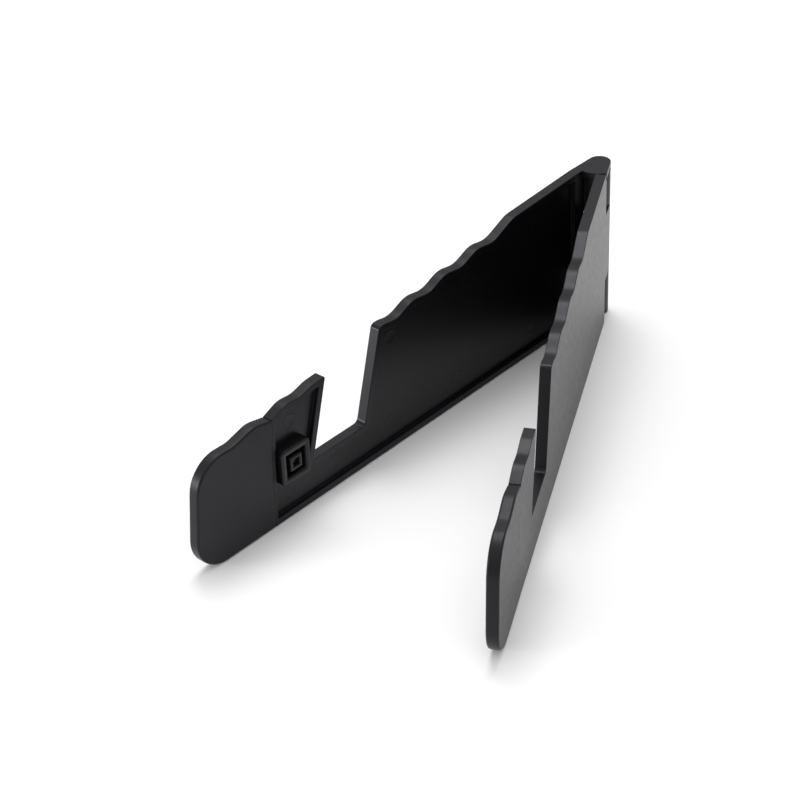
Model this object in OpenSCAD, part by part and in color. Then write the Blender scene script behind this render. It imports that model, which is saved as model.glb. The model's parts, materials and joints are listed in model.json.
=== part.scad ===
// Folding photo album stand: two flat notched leaves joined by an upright hinge at the back.
// Soft sleeves cover the front ends and a square catch holds the leaves together when folded.
// Z is up, the front ends point to -Y, and the model is symmetrical about X = 0 at rest.

/* [Leaf] */
// Length of a leaf, from the hinge's axis to its front corner
leaf_len = 201; // [196:1:215]
// Height of a leaf at the hinge
leaf_h = 60; // [58:0.5:64]
// Thickness of a leaf at its rim
leaf_t = 3.7; // [3.4:0.1:4]
// Gap between the two rims when the stand is folded
fold_gap = 0.5; // [0.5:0.1:1]
// Depth of the recessed panel on each inner face
panel_depth = 1.5; // [1:0.1:1.6]
// Width of the rim around the recessed panel
rim_w = 2.3; // [1.8:0.1:3]
// Angle between the two leaves as they stand
open_angle = 27.6; // [20:0.2:40]

/* [Scalloped edge] */
// Distance from one scallop to the next on the back rest
scallop_pitch = 16.2; // [15.8:0.1:16.4]
// Height of a scallop's wave above and below its middle line
scallop_rise = 0.8; // [0.4:0.1:1]
// Drop of the back rest for each millimetre towards the front
rest_slope = 0.127; // [0.11:0.001:0.135]

/* [Album slot] */
// Width of the slot's floor
slot_w = 24; // [23:0.1:26]
// Height of the slot's floor above the table
slot_floor = 15.7; // [15:0.1:17]
// Distance from the hinge's axis to the slot's back corner
slot_back = 124.2; // [123:0.1:125]
// Lean of the slot's sides from upright, in degrees
slot_lean = 15.5; // [14:0.5:17]

/* [Hinge] */
// Diameter of the hinge pin
pin_d = 3; // [2.6:0.1:3.2]
// Running clearance around the pin, on the radius
pin_gap = 0.05; // [0.03:0.01:0.08]
// Reach of the hinge blocks in front of the pin
block_r = 8; // [7.6:0.1:8.4]
// Reach of the top cap in front of the pin
cap_r = 9.5; // [9.2:0.1:10]
// Thickness of the top cap
cap_t = 2.2; // [2:0.1:3]
// Height of the hinge's lower joint line
joint_low = 16.9; // [12:0.1:18]
// Height of the hinge's upper joint line
joint_high = 43.6; // [40:0.1:45]
// Gap between moving hinge faces
hinge_gap = 0.4; // [0.3:0.05:0.5]

/* [Front sleeves] */
// Length of a soft sleeve along the table
sleeve_len = 33.8; // [32.5:0.1:34.5]
// Lean of a sleeve's joint line towards the hinge, in degrees
seam_lean = 3; // [0:0.5:4]
// How far a sleeve stands proud of its leaf
sleeve_proud = 0.15; // [0.1:0.05:0.2]
// Thickness of the tongue inside a sleeve
tongue_t = 1.5; // [1.2:0.1:1.8]

/* [Catch] */
// Side of the square catch socket
socket_w = 12.8; // [12:0.1:13.2]
// Height of the catch socket above its panel
socket_h = 3.2; // [3:0.1:3.3]
// Outer side of the socket's square groove
groove_w = 8.6; // [8:0.1:9]
// Side of the square post inside the groove
post_w = 5.1; // [4.8:0.1:5.2]
// Radius of the socket's corners
socket_r = 1.6; // [0.8:0.1:2]
// Distance from the hinge's axis to the catch's middle
catch_s = 157.6; // [157:0.1:158]
// Height of the catch's middle above the table
catch_z = 20.6; // [20:0.1:21.5]

/* [Hidden] */
$fn = 64;
half = open_angle / 2;
inner = fold_gap / 2;
outer = inner + leaf_t;
panel = inner + panel_depth;
sleeve_s = leaf_len - sleeve_len;
// the leaf's foot rises a little towards the sleeve, so the sleeve meets the table first
foot_rise = sleeve_proud;
// middle line of the scallops, at the first full scallop
wave_s = 66.3;
wave_z = leaf_h - 6.3;
slot_front = slot_back + slot_w;
lean = tan(slot_lean);
rest_end = wave_s + 3 * scallop_pitch;
tip_z = leaf_h - 16.9;
catch_gap = 0.3;
spigot_w = 6;
spigot_t = 1.1;
groove_depth = 2.2;
plug_w = groove_w - 2 * catch_gap;
// the plug stops this far short of the groove's floor, measured outwards from the mid plane
plug_tip = socket_h - panel - groove_depth + 0.45;
tongue_mid = (inner + outer) / 2;
pin_top = leaf_h - cap_t - 3;
// where a leaf reaches furthest to the front
front_s = max([for (p = rounded(leaf_corners())) p[0]]);
// the hinge's axis lies this far behind the middle of the box
axis_y = (front_s * cos(half) - (inner - sleeve_proud) * sin(half) - outer) / 2;

// Points of a fillet of radius r at corner b, between the edges towards a and c
function fillet(a, b, c, r) =
    let (
        u = (a - b) / norm(a - b),
        w = (c - b) / norm(c - b),
        gap = acos(u * w),
        m = b + (u + w) / norm(u + w) * r / sin(gap / 2),
        p = b + u * r / tan(gap / 2) - m,
        q = b + w * r / tan(gap / 2) - m,
        from = atan2(p[1], p[0]),
        turn = atan2(p[0] * q[1] - p[1] * q[0], p * q),
        n = max(2, ceil(abs(turn) / 10))
    )
    [for (i = [0:n]) m + r * [cos(from + turn * i / n), sin(from + turn * i / n)]];

// Closed outline from corners [s, z, r]; r is the corner's radius, or 0 for a plain point
function rounded(v) =
    [for (i = [0:len(v) - 1])
        let (
            a = v[(i + len(v) - 1) % len(v)],
            b = v[i],
            c = v[(i + 1) % len(v)]
        )
        each b[2] > 0 ? fillet([a[0], a[1]], [b[0], b[1]], [c[0], c[1]], b[2]) : [[b[0], b[1]]]];

// Height of the back rest's scalloped edge at a distance s from the hinge
function rest_z(s) =
    wave_z - rest_slope * (s - wave_s) + scallop_rise * cos(360 * (s - wave_s) / scallop_pitch);

// Distance from the hinge of the sleeve's joint line at a height z
function seam_s(z) = sleeve_s - z * tan(seam_lean);

// Side view of a whole leaf with its front end, as corners [s, z, r]
function leaf_corners() = concat(
    [
        [0, 0, 0],
        [seam_s(foot_rise), foot_rise, 0],
        [seam_s(0), 0, 0],
        [leaf_len, 0, 11.2],
        [leaf_len - 4, tip_z - 6.2, 11.5],
        [leaf_len - 13.3, tip_z - 4.2, 9],
        [leaf_len - 19.7, tip_z - 4.4, 8],
        [leaf_len - 28.3, tip_z - 2.1, 9],
        [seam_s(tip_z - 3.7), tip_z - 3.7, 0],
        [sleeve_s - 8.4, tip_z - 1.2, 8],
        [sleeve_s - 14.4, tip_z - 1.8, 9],
        [sleeve_s - 20.4, tip_z - 0.2, 8],
        [slot_front - (tip_z - slot_floor) * lean, tip_z + 0.1, 0.8],
        [slot_front, slot_floor, 0.3],
        [slot_back, slot_floor - 0.1, 2],
        [slot_back - (rest_z(rest_end) - slot_floor) * lean, rest_z(rest_end), 1.8]
    ],
    [for (s = [rest_end - 2.5:-0.9:wave_s - 13]) [s, rest_z(s), 0]],
    [
        [47.3, leaf_h - 1.9, 7],
        [cap_r + 3, leaf_h, 0],
        [0, leaf_h, 0]
    ]
);

// Puts a side view on the left leaf, from one depth to another outwards from the mid plane
module slab(from, to) {
    rotate([90, 0, -90])
        translate([0, 0, from])
            linear_extrude(to - from)
                children();
}

// Everything on the left side is drawn along -Y and turned about the hinge's axis
module left_side() {
    translate([0, axis_y, 0])
        rotate([0, 0, -half])
            children();
}

// The right side is the left side's mirror image
module right_side() {
    translate([0, axis_y, 0])
        rotate([0, 0, half])
            mirror([1, 0, 0])
                children();
}

module whole_outline() {
    polygon(rounded(leaf_corners()));
}

// Everything behind the sleeve's joint line moved by shift, from a distance s0 on
module behind_seam(s0, shift) {
    polygon([
        [s0, -1],
        [seam_s(-1) + shift, -1],
        [seam_s(leaf_h + 1) + shift, leaf_h + 1],
        [s0, leaf_h + 1]
    ]);
}

module sleeve_outline() {
    difference() {
        whole_outline();
        behind_seam(-1, 0);
    }
}

// The tongue keeps 2.5 mm inside the sleeve's outline and enters the leaf by 1 mm
module tongue_outline() {
    polygon(rounded([
        [seam_s(3.5) - 1, 3.5, 0],
        [leaf_len - 3.5, 3.5, 9],
        [leaf_len - 6.5, tip_z - 12, 10],
        [leaf_len - 18, tip_z - 8.5, 6],
        [seam_s(tip_z - 8.5) - 1, tip_z - 8.5, 0]
    ]));
}

// The panel follows the leaf's edge all round at the rim's width
module panel_outline() {
    offset(delta = -rim_w)
        intersection() {
            whole_outline();
            behind_seam(block_r + 3.2, 0.8);
        }
}

// Outline of a hinge piece seen from above: a round back about the pin, two flat sides that
// follow the leaves' outer faces, and a round front. The sides spread by an angle.
module hinge_outline(reach, spread) {
    side = asin(outer / reach);
    polygon(concat(
        [for (a = [180:-7.5:spread + 1]) outer * [cos(a), sin(a)]],
        [outer * [cos(spread), sin(spread)]],
        [for (i = [0:16]) let (a = spread + side - 90 - (spread + 2 * side) * i / 16)
            reach * [cos(a), sin(a)]]
    ));
}

// A hinge block between two heights
module block(z0, z1) {
    translate([0, 0, z0])
        linear_extrude(z1 - z0)
            hinge_outline(block_r, 0);
}

// The hole for the pin, between two heights
module pin_hole(r, z0, z1) {
    translate([0, 0, z0])
        cylinder(h = z1 - z0, r = r);
}

// A square on a side view, centred on the catch
module catch_square(w) {
    translate([catch_s, catch_z])
        square(w, center = true);
}

// The socket's outline: a square with round corners
module socket_outline() {
    h = socket_w / 2;
    translate([catch_s, catch_z])
        polygon(rounded([for (c = [[-h, -h], [h, -h], [h, h], [-h, h]]) [c[0], c[1], socket_r]]));
}

// The flat plate of a leaf, cut back behind cut_s for the other leaf's blocks
module plate(cut_s, low, high, pocket_w) {
    difference() {
        slab(inner, outer)
            difference() {
                intersection() {
                    whole_outline();
                    behind_seam(0, 0);
                }
                translate([-1, low])
                    square([cut_s + 1, high - low]);
            }
        slab(inner - 1, panel)
            panel_outline();
        slab(panel - 1, panel + spigot_t)
            catch_square(pocket_w);
    }
}

// The thin tongue that holds the soft sleeve
module tongue() {
    slab(tongue_mid - tongue_t / 2, tongue_mid + tongue_t / 2)
        tongue_outline();
}

module left_leaf() {
    color([0.06, 0.06, 0.065])
        left_side()
            difference() {
                union() {
                    plate(block_r + hinge_gap, joint_low - hinge_gap / 2, joint_high + hinge_gap / 2,
                        spigot_w);
                    tongue();
                    block(0, joint_low - hinge_gap / 2);
                    block(joint_high + hinge_gap / 2, leaf_h - cap_t);
                    translate([0, 0, leaf_h - cap_t])
                        linear_extrude(cap_t)
                            hinge_outline(cap_r, open_angle);
                }
                pin_hole(pin_d / 2, -1, pin_top);
            }
}

module right_leaf() {
    color([0.06, 0.06, 0.065])
        right_side()
            difference() {
                union() {
                    difference() {
                        plate(block_r + hinge_gap, -1, joint_low + hinge_gap / 2, plug_w);
                        slab(inner - 1, outer + 1) {
                            translate([-1, joint_high - hinge_gap / 2])
                                square([block_r + hinge_gap + 1, leaf_h]);
                            translate([-1, leaf_h - cap_t - hinge_gap])
                                square([cap_r + hinge_gap + 1, leaf_h]);
                        }
                    }
                    tongue();
                    block(joint_low + hinge_gap / 2, joint_high - hinge_gap / 2);
                }
                pin_hole(pin_d / 2 + pin_gap, -1, leaf_h);
            }
}

module hinge_pin() {
    color([0.62, 0.63, 0.65])
        translate([0, axis_y, 0])
            pin_hole(pin_d / 2, 0.5, pin_top);
}

// A soft sleeve wraps the tongue and stands a little proud of the leaf on both faces
module sleeve() {
    difference() {
        slab(inner - sleeve_proud, outer + sleeve_proud)
            sleeve_outline();
        tongue();
    }
}

module left_sleeve() {
    color([0.09, 0.09, 0.095])
        left_side()
            sleeve();
}

module right_sleeve() {
    color([0.09, 0.09, 0.095])
        right_side()
            sleeve();
}

// The square socket stands on the left panel, with a square groove around a hollow post
module catch_socket() {
    color([0.05, 0.05, 0.055])
        left_side()
            difference() {
                union() {
                    slab(panel - socket_h, panel)
                        socket_outline();
                    slab(panel - 0.5, panel + spigot_t)
                        catch_square(spigot_w);
                }
                slab(panel - socket_h - 1, panel - socket_h + groove_depth)
                    difference() {
                        catch_square(groove_w);
                        catch_square(post_w);
                    }
                slab(panel - socket_h - 1, panel - socket_h + 1.2)
                    catch_square(post_w - 2.2);
            }
}

// The square plug stands on the right panel and enters the socket's groove when folded
module catch_plug() {
    color([0.05, 0.05, 0.055])
        right_side()
            difference() {
                slab(plug_tip, panel + spigot_t)
                    catch_square(plug_w);
                slab(plug_tip - 1, panel)
                    catch_square(post_w + 2 * catch_gap);
            }
}

left_leaf();
right_leaf();
hinge_pin();
left_sleeve();
right_sleeve();
catch_socket();
catch_plug();
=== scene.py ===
"""Folding photo album stand: two moulded leaves on an upright pin, with soft front sleeves."""

import json
import math

import bmesh
import bpy
import numpy as np
from mathutils import Matrix, Vector

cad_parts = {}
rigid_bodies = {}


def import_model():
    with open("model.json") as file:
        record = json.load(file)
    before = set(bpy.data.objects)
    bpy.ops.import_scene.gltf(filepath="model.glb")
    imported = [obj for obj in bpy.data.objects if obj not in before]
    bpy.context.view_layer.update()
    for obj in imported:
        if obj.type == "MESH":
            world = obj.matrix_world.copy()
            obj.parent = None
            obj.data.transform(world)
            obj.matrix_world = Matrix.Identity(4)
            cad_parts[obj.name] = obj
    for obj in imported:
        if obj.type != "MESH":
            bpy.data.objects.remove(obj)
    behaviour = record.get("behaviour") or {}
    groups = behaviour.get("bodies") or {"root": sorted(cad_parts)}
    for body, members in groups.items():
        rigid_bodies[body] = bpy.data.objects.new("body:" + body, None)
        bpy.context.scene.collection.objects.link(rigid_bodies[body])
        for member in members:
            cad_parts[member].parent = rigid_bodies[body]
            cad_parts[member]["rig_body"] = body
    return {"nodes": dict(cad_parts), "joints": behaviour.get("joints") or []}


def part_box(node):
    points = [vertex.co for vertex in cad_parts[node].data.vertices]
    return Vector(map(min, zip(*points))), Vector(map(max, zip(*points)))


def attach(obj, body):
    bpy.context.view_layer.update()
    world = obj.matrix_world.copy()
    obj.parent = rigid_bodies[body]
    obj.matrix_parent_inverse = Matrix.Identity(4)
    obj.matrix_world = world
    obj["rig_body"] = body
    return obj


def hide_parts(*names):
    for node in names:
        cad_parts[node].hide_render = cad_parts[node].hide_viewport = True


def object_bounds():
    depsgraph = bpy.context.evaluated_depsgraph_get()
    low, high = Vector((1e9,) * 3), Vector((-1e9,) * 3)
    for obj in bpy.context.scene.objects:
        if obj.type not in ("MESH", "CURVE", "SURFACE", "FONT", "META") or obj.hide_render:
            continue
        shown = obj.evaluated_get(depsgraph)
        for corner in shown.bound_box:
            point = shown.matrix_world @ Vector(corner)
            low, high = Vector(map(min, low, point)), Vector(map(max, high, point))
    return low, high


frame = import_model()
cad_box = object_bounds()

MM = 0.001
FOLD = frame["joints"][0]
AXIS = np.array(FOLD["pos_m"])
HALF = math.radians(-FOLD["range_deg"][0]) / 2
CENTRE = (cad_box[0] + cad_box[1]) / 2

# depth of a leaf's recessed panel, outwards from the fold's middle plane
PANEL = 1.75 * MM

# the catch's middle on a leaf: distance from the pin, and height above the table
CATCH_S = 157.6 * MM
CATCH_Z = 20.6 * MM
SOCKET_W = 12.8 * MM
SOCKET_R = 1.6 * MM
SOCKET_H = 3.2 * MM
GROOVE_W = 8.6 * MM
POST_W = 5.1 * MM
PLUG_W = 8.0 * MM
PLUG_TIP = -0.3 * MM

# width of the rounding on the edges, and the CAD steps too small to round, which are closed first
LEAF_ROUND = 0.22 * MM
LEAF_STEP = 0.02 * MM
SLEEVE_ROUND = 0.7 * MM
SLEEVE_STEP = 0.16 * MM

# ejector marks on a leaf's panel, as (distance from the pin, height) in millimetres
MARKS = [
    (157.7, 8.5), (138.2, 8), (109.7, 9), (156, 33.8), (108.7, 41), (76, 9), (70, 44), (36, 9), (34, 48),
]
MARK_R = 2.5 * MM


# ---------------------------------------------------------------- places on a leaf


def leaf_point(side, s, depth, z):
    """Point of a leaf from its distance s from the pin, its depth out from the fold's middle
    plane and its height. side is -1 for the left leaf and +1 for the right one."""
    s, depth, z = np.broadcast_arrays(s, depth, z)
    x = side * (s * math.sin(HALF) + depth * math.cos(HALF))
    y = -s * math.cos(HALF) + depth * math.sin(HALF)
    return np.stack([AXIS[0] + x, AXIS[1] + y, z], -1)


# ---------------------------------------------------------------- mesh builders


def new_piece(name, verts, faces, material, body):
    """A closed mesh object at the origin that rides on a body, with its normals turned outwards."""
    mesh = bpy.data.meshes.new(name)
    mesh.from_pydata(verts.reshape(-1, 3), [], faces)
    mesh.materials.append(material)
    mesh.shade_smooth()
    piece = bpy.data.objects.new(name, mesh)
    bpy.context.scene.collection.objects.link(piece)
    return dress(piece, body)


def dress(piece, body):
    """Names the body that a piece rides on."""
    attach(piece, body)
    return piece


def loop_faces(rows, around, flip):
    """Faces of a lofted solid: row r, column c is vertex r * around + c. Each quad joins a
    column to the next one round and a row to the next one along; two n-gons close the ends."""
    r, c = np.meshgrid(np.arange(rows - 1), np.arange(around), indexing="ij")
    d = (c + 1) % around
    quads = np.stack([r * around + c, r * around + d, (r + 1) * around + d, (r + 1) * around + c], -1)
    quads = quads.reshape(-1, 4)
    first = np.arange(around)[::-1]
    last = np.arange(around) + (rows - 1) * around
    if flip:
        quads, first, last = quads[:, ::-1], first[::-1], last[::-1]
    return [*quads.tolist(), first.tolist(), last.tolist()]


def rounded_square(half, radius, steps):
    """Points round a square of half-width half whose corners are arcs of the given radius:
    corner k's arc runs from 90k to 90k + 90 degrees about (half - radius) times its sign pair."""
    turn = np.arange(4)[:, None] * math.pi / 2 + np.linspace(0, math.pi / 2, steps)[None]
    mid = np.arange(4)[:, None] * math.pi / 2 + math.pi / 4
    u = (half - radius) * math.sqrt(2) * np.cos(mid) + radius * np.cos(turn)
    v = (half - radius) * math.sqrt(2) * np.sin(mid) + radius * np.sin(turn)
    return np.stack([u.ravel(), v.ravel()], -1)


def square_loft(side, profile, steps=5):
    """Grid of a square solid on a leaf: each profile row is (half-width, corner radius, depth),
    and gives one rounded square parallel to the leaf, centred on the catch."""
    loops = np.stack([rounded_square(h, r, steps) for h, r, _ in profile])
    depth = np.array([d for _, _, d in profile])[:, None]
    return leaf_point(side, CATCH_S + loops[..., 0], depth, CATCH_Z + loops[..., 1])


def lathe(profile, around=48):
    """Grid of a turned solid: profile row (r, h) becomes the circle r(cos a, sin a) at height h."""
    a = np.linspace(0, 2 * math.pi, around, endpoint=False)[None]
    r = np.array([p[0] for p in profile])[:, None]
    h = np.array([p[1] for p in profile])[:, None] + 0 * a
    return np.stack([r * np.cos(a), r * np.sin(a), h], -1)


def rounded_copy(node, name, width, merge, material):
    """A merged copy of a CAD node whose sharp edges are rounded by a bevel of the given width.
    Steps smaller than merge are closed first. The copy stands for the node: its flat faces and
    sizes are the node's own."""
    piece = frame["nodes"][node].copy()
    piece.data = piece.data.copy()
    piece.name = name
    piece.parent = None
    piece.matrix_world = Matrix.Identity(4)
    bpy.context.scene.collection.objects.link(piece)
    tidy_flats(piece.data, merge)
    piece.data.materials.clear()
    piece.data.materials.append(material)
    bevel = piece.modifiers.new("edge rounding", "BEVEL")
    bevel.width = width
    bevel.segments = 3
    bevel.limit_method = "ANGLE"
    bevel.angle_limit = math.radians(35)
    bevel.miter_outer = "MITER_ARC"
    bevel.use_clamp_overlap = False
    keep_rounding(piece, node)
    even = piece.modifiers.new("even shading", "WEIGHTED_NORMAL")
    even.keep_sharp = False
    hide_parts(node)
    return dress(piece, frame["nodes"][node]["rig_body"])


def keep_rounding(piece, node):
    """Keeps the bevel's result as the piece's own mesh, with each point held to the node's box:
    every coordinate becomes min(max(coordinate, low), high). This flattens a small lump that the
    bevel leaves under the left leaf's lower hinge block; it does not remove the lump's faces."""
    graph = bpy.context.evaluated_depsgraph_get()
    mesh = bpy.data.meshes.new_from_object(piece.evaluated_get(graph))
    spots = np.empty(3 * len(mesh.vertices))
    mesh.vertices.foreach_get("co", spots)
    low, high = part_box(node)
    spots = np.clip(spots.reshape(-1, 3), np.array(low), np.array(high))
    mesh.vertices.foreach_set("co", spots.ravel())
    piece.modifiers.clear()
    piece.data = mesh


def tidy_flats(mesh, merge):
    """Joins a CAD mesh's loose triangles at their shared corners, closes steps smaller than merge
    and melts the triangles into flat faces."""
    work = bmesh.new()
    work.from_mesh(mesh)
    bmesh.ops.remove_doubles(work, verts=work.verts, dist=merge)
    bmesh.ops.recalc_face_normals(work, faces=work.faces)
    bmesh.ops.dissolve_limit(work, angle_limit=math.radians(0.5), verts=work.verts, edges=work.edges)
    bmesh.ops.recalc_face_normals(work, faces=work.faces)
    work.to_mesh(mesh)
    work.free()
    mesh.shade_smooth()


# ---------------------------------------------------------------- materials


class Nodes:
    """Short hand for one material's nodes and links."""

    def __init__(self, name):
        self.material = bpy.data.materials.new(name)
        self.material.use_nodes = True
        self.tree = self.material.node_tree
        self.shader = self.tree.nodes["Principled BSDF"]
        self.object = self.tree.nodes.new("ShaderNodeTexCoord").outputs["Object"]

    def add(self, kind, **values):
        """A node of a kind; values are its settings, or its sockets' values or links."""
        node = self.tree.nodes.new(kind)
        for key, value in values.items():
            if hasattr(node, key):
                setattr(node, key, value)
            else:
                self.put(node.inputs[key.replace("_", " ")], value)
        return node

    def put(self, socket, value):
        if isinstance(value, bpy.types.NodeSocket):
            self.tree.links.new(value, socket)
        else:
            socket.default_value = value

    def noise(self, size, detail=2.0, roughness=0.5):
        """Fractal noise whose features are about size metres wide."""
        node = self.add("ShaderNodeTexNoise", Vector=self.object, Scale=1 / size, Detail=detail)
        node.inputs["Roughness"].default_value = roughness
        return node.outputs["Fac"]

    def band(self, value, low, high, dark, light):
        """Maps a value's range low..high to dark..light, held at both ends."""
        node = self.add("ShaderNodeMapRange")
        for key, number in zip(("From Min", "From Max", "To Min", "To Max"), (low, high, dark, light)):
            node.inputs[key].default_value = number
        self.put(node.inputs["Value"], value)
        return node.outputs["Result"]

    def mix_colour(self, factor, dark, light):
        node = self.add("ShaderNodeMix", data_type="RGBA")
        self.put(node.inputs["Factor"], factor)
        node.inputs[6].default_value = (*dark, 1)
        node.inputs[7].default_value = (*light, 1)
        return node.outputs[2]

    def bump(self, height, strength, distance, onto=None):
        node = self.add("ShaderNodeBump", Strength=strength, Distance=distance)
        self.put(node.inputs["Height"], height)
        if onto is not None:
            self.put(node.inputs["Normal"], onto)
        return node.outputs["Normal"]


# the black plastics' gloss is a trace cooler than white
GLOSS_TINT = (0.93, 0.91, 1.0, 1.0)


def moulded_plastic(name, dark, light, rough, grain):
    """Black moulded plastic: a slow drift of tone from the flow of the melt, a finer mottle in
    the gloss, and the spark-eroded grain of the mould as bump."""
    n = Nodes(name)
    drift = n.noise(22 * MM, detail=3)
    mottle = n.noise(2.4 * MM, detail=3)
    fine = n.noise(0.22 * MM, detail=2)
    n.put(n.shader.inputs["Base Color"], n.mix_colour(n.band(drift, 0.3, 0.7, 0, 1), dark, light))
    n.put(n.shader.inputs["Roughness"], n.band(mottle, 0.3, 0.7, rough - 0.03, rough + 0.03))
    wave = n.bump(drift, 0.25, 0.05 * MM)
    n.put(n.shader.inputs["Normal"], n.bump(fine, grain, 0.01 * MM, onto=wave))
    n.shader.inputs["IOR"].default_value = 1.34
    n.shader.inputs["Specular Tint"].default_value = GLOSS_TINT
    return n.material


def soft_sleeve():
    """Soft moulding for the sleeves: a duller black with a velvety fine grain."""
    n = Nodes("sleeve soft black")
    drift = n.noise(16 * MM, detail=3)
    fine = n.noise(0.16 * MM, detail=3)
    tone = n.mix_colour(n.band(drift, 0.3, 0.7, 0, 1), (0.0052, 0.005, 0.0062), (0.0075, 0.0073, 0.0085))
    n.put(n.shader.inputs["Base Color"], tone)
    n.put(n.shader.inputs["Roughness"], n.band(n.noise(1.6 * MM), 0.3, 0.7, 0.36, 0.42))
    n.put(n.shader.inputs["Normal"], n.bump(fine, 0.3, 0.012 * MM))
    n.shader.inputs["IOR"].default_value = 1.33
    n.shader.inputs["Sheen Weight"].default_value = 0.06
    n.shader.inputs["Sheen Roughness"].default_value = 0.35
    n.shader.inputs["Specular Tint"].default_value = GLOSS_TINT
    return n.material


def drawn_steel():
    """Bright drawn wire: fine lines along the pin from noise stretched in height."""
    n = Nodes("pin drawn steel")
    stretch = n.add("ShaderNodeMapping", Vector=n.object)
    stretch.inputs["Scale"].default_value = (1, 1, 0.02)
    lines = n.add("ShaderNodeTexNoise", Vector=stretch.outputs["Vector"], Scale=9000.0, Detail=3.0)
    streak = lines.outputs["Fac"]
    n.put(n.shader.inputs["Base Color"], n.mix_colour(streak, (0.42, 0.42, 0.44), (0.62, 0.62, 0.64)))
    n.put(n.shader.inputs["Roughness"], n.band(streak, 0.3, 0.7, 0.22, 0.38))
    n.put(n.shader.inputs["Normal"], n.bump(streak, 0.2, 0.01 * MM))
    n.shader.inputs["Metallic"].default_value = 1.0
    return n.material


LEAF = moulded_plastic("leaf satin black", (0.0038, 0.0037, 0.0044), (0.0056, 0.0054, 0.0064), 0.34, 0.25)
CATCH = moulded_plastic("catch satin black", (0.003, 0.003, 0.0035), (0.0044, 0.0043, 0.005), 0.32, 0.15)
SLEEVE = soft_sleeve()
STEEL = drawn_steel()


# ---------------------------------------------------------------- pieces


def catch_socket():
    """The square socket: its outline rises from the panel, rounds over the rim, drops into the
    square groove, climbs the middle post and sinks into the post's own square hollow."""
    top = PANEL - SOCKET_H
    edge = 0.25 * MM
    floor = top + 2.2 * MM
    hollow = 1.45 * MM
    out, groove, post = SOCKET_W / 2, GROOVE_W / 2, POST_W / 2
    rows = [
        (out, SOCKET_R, PANEL + 0.3 * MM),
        (out, SOCKET_R, top + edge),
        (out - 0.3 * edge, SOCKET_R - 0.3 * edge, top + 0.3 * edge),
        (out - edge, SOCKET_R - edge, top),
        (groove + 0.5 * edge, 0.4 * MM, top),
        (groove, 0.35 * MM, top + 0.5 * edge),
        (groove - 0.1 * MM, 0.3 * MM, floor),
        (post + 0.1 * MM, 0.3 * MM, floor),
        (post, 0.3 * MM, top + 0.5 * edge),
        (post - 0.5 * edge, 0.25 * MM, top),
        (hollow + 0.5 * edge, 0.2 * MM, top),
        (hollow, 0.2 * MM, top + 0.5 * edge),
        (hollow - 0.1 * MM, 0.15 * MM, top + 1.2 * MM),
    ]
    grid = square_loft(-1, rows)
    faces = loop_faces(len(rows), grid.shape[1], False)
    piece = new_piece("catch_socket_block", grid, faces, CATCH, "left_half")
    finish_square(piece, "catch_socket")


def catch_plug():
    """The square plug: a hollow square spigot that stands on the right leaf's panel."""
    tip = PLUG_TIP
    edge = 0.2 * MM
    out, hole = PLUG_W / 2, POST_W / 2 + 0.3 * MM
    rows = [
        (out, 0.35 * MM, PANEL + 0.3 * MM),
        (out, 0.35 * MM, tip + edge),
        (out - edge, 0.3 * MM, tip),
        (hole + edge, 0.3 * MM, tip),
        (hole, 0.25 * MM, tip + edge),
        (hole, 0.25 * MM, PANEL - 0.05 * MM),
    ]
    grid = square_loft(1, rows)
    faces = loop_faces(len(rows), grid.shape[1], True)
    piece = new_piece("catch_plug_spigot", grid, faces, CATCH, "right_half")
    finish_square(piece, "catch_plug")


def finish_square(piece, node):
    """Keeps a square piece's flats flat while its small roundings stay smooth."""
    piece.data.set_sharp_from_angle(angle=math.radians(50))
    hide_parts(node)


def hinge_pin():
    """The steel pin: a turned rod with a small chamfer at each end."""
    low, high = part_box("hinge_pin")
    r = (high.x - low.x) / 2
    cut = 0.3 * MM
    ends = [(r - cut, low.z), (r, low.z + cut), (r, high.z - cut), (r - cut, high.z)]
    grid = lathe(ends) + np.array([AXIS[0], AXIS[1], 0])
    faces = loop_faces(len(ends), grid.shape[1], False)
    piece = new_piece("hinge_pin_rod", grid, faces, STEEL, "left_half")
    piece.data.set_sharp_from_angle(angle=math.radians(30))
    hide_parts("hinge_pin")


def ejector_marks(side, body):
    """Round marks that the mould's ejector pins left on a panel: each is a low turned disc with
    a raised lip, height = lip at the rim falling to a shallow dish in the middle."""
    lip, dish = 0.035 * MM, 0.01 * MM
    profile = [
        (MARK_R + 0.12 * MM, -0.15 * MM),
        (MARK_R + 0.1 * MM, 0.3 * lip),
        (MARK_R, lip),
        (MARK_R - 0.12 * MM, lip),
        (MARK_R - 0.3 * MM, dish),
        (0.05 * MM, dish),
    ]
    disc = lathe(profile, around=40)
    at = np.array(MARKS)[:, None, None] * MM
    s = at[..., 0] + disc[None, ..., 0]
    z = at[..., 1] + disc[None, ..., 1]
    grid = leaf_point(side, s, PANEL - disc[None, ..., 2], z)
    count = grid[0].reshape(-1, 3).shape[0]
    one = loop_faces(len(profile), disc.shape[1], side > 0)
    faces = [[v + k * count for v in face] for k in range(len(MARKS)) for face in one]
    name = "ejector_marks_" + ("right" if side > 0 else "left")
    new_piece(name, grid, faces, LEAF, body)


for hand in ("left", "right"):
    leaf, sleeve = f"{hand}_leaf", f"{hand}_sleeve"
    rounded_copy(leaf, f"{leaf}_moulding", LEAF_ROUND, LEAF_STEP, LEAF)
    rounded_copy(sleeve, f"{sleeve}_moulding", SLEEVE_ROUND, SLEEVE_STEP, SLEEVE)
catch_socket()
catch_plug()
hinge_pin()
ejector_marks(-1, "left_half")
ejector_marks(1, "right_half")


# ---------------------------------------------------------------- camera, floor and light


def way_back(azimuth, elevation):
    """Unit vector from the stand towards something at an azimuth from the front and an elevation."""
    level = math.cos(elevation)
    return Vector((math.sin(azimuth) * level, -math.cos(azimuth) * level, math.sin(elevation)))


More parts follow.
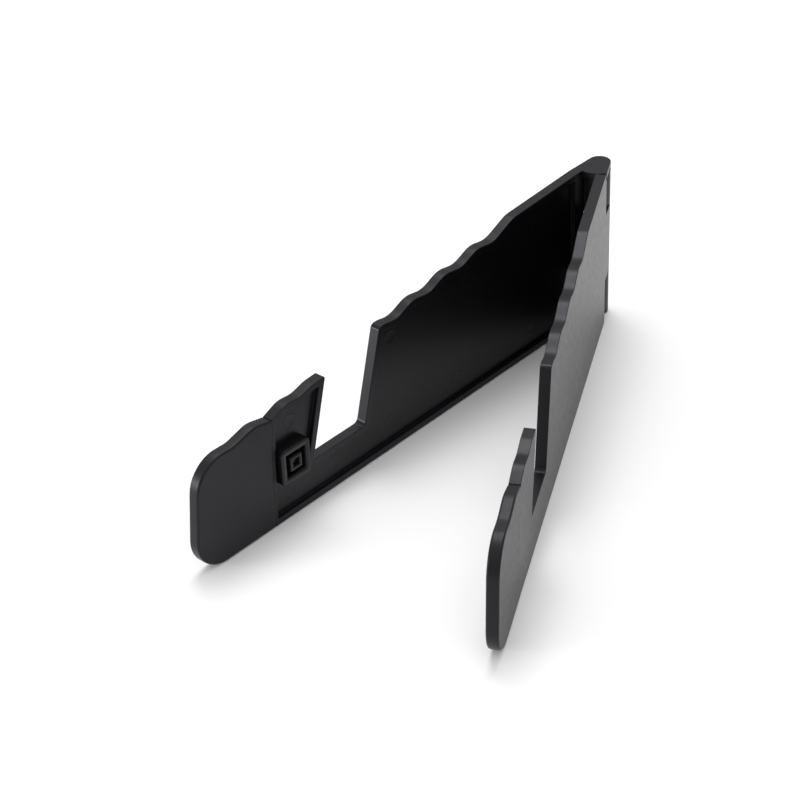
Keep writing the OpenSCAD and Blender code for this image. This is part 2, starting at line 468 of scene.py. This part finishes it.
def camera():
    """A long lens from the front right and above, turned a little about its own line of sight."""
    azimuth, elevation, roll = math.radians(28.756), math.radians(33.434), math.radians(-2.529)
    back = way_back(azimuth, elevation)
    aim = Vector((0, AXIS[1] - 0.15083, 0.05191))
    distance = 0.63466
    data = bpy.data.cameras.new("camera")
    data.sensor_width = 36
    data.lens = 96.354
    eye = bpy.data.objects.new("camera", data)
    eye.rotation_mode = "QUATERNION"
    tilt = Matrix.Rotation(roll, 3, "Z").to_quaternion()
    eye.rotation_quaternion = (-back).to_track_quat("-Z", "Y") @ tilt
    eye.location = aim + back * distance
    data.clip_start, data.clip_end = 0.01, 20
    bpy.context.scene.collection.objects.link(eye)
    bpy.context.scene.camera = eye


def floor():
    """One flat pale disc under the stand: rings of radius 4 k squared about the middle."""
    ring = 4 * np.linspace(0.02, 1, 24) ** 2
    turn = np.linspace(0, 2 * math.pi, 72, endpoint=False)
    grid = ring[:, None, None] * np.stack([np.cos(turn), np.sin(turn), 0 * turn], -1)
    grid[..., 2] = -0.2 * MM
    mesh = bpy.data.meshes.new("floor")
    mesh.from_pydata(grid.reshape(-1, 3), [], loop_faces(len(ring), len(turn), True)[:-1])
    n = Nodes("floor matt white")
    n.put(n.shader.inputs["Base Color"], n.mix_colour(n.noise(0.4), (0.94, 0.94, 0.94), (0.97, 0.97, 0.97)))
    n.shader.inputs["Roughness"].default_value = 0.9
    n.shader.inputs["Specular IOR Level"].default_value = 0.1
    mesh.materials.append(n.material)
    sheet = bpy.data.objects.new("floor", mesh)
    bpy.context.scene.collection.objects.link(sheet)


def softbox(name, azimuth, elevation, distance, size, power):
    """A square soft light that faces the stand's middle."""
    back = way_back(math.radians(azimuth), math.radians(elevation))
    data = bpy.data.lights.new(name, "AREA")
    data.shape = "SQUARE"
    data.size = size
    data.energy = power
    lamp = bpy.data.objects.new(name, data)
    lamp.rotation_mode = "QUATERNION"
    lamp.rotation_quaternion = back.to_track_quat("Z", "Y")
    lamp.location = CENTRE + back * distance
    lamp.visible_camera = False
    bpy.context.scene.collection.objects.link(lamp)


def room():
    """A soft white room: its walls are dim at the horizon and brighten evenly up to the ceiling."""
    world = bpy.data.worlds.new("room")
    world.use_nodes = True
    tree = world.node_tree
    way = tree.nodes.new("ShaderNodeTexCoord")
    split = tree.nodes.new("ShaderNodeSeparateXYZ")
    rise = tree.nodes.new("ShaderNodeMapRange")
    for key, number in zip(("From Min", "From Max", "To Min", "To Max"), (0.0, 0.75, 0.25, 0.9)):
        rise.inputs[key].default_value = number
    background = tree.nodes["Background"]
    background.inputs["Color"].default_value = (1, 1, 1, 1)
    tree.links.new(way.outputs["Generated"], split.inputs["Vector"])
    tree.links.new(split.outputs["Z"], rise.inputs["Value"])
    tree.links.new(rise.outputs["Result"], background.inputs["Strength"])
    bpy.context.scene.world = world


def studio():
    """The room, a large softbox above and behind, and a small bright one low at the front left."""
    room()
    bpy.context.scene.view_settings.view_transform = "Standard"
    softbox("top light", azimuth=-150, elevation=68, distance=1.5, size=0.8, power=11)
    softbox("low key light", azimuth=-49, elevation=6, distance=1.3, size=0.45, power=8.5)


camera()
floor()
studio()
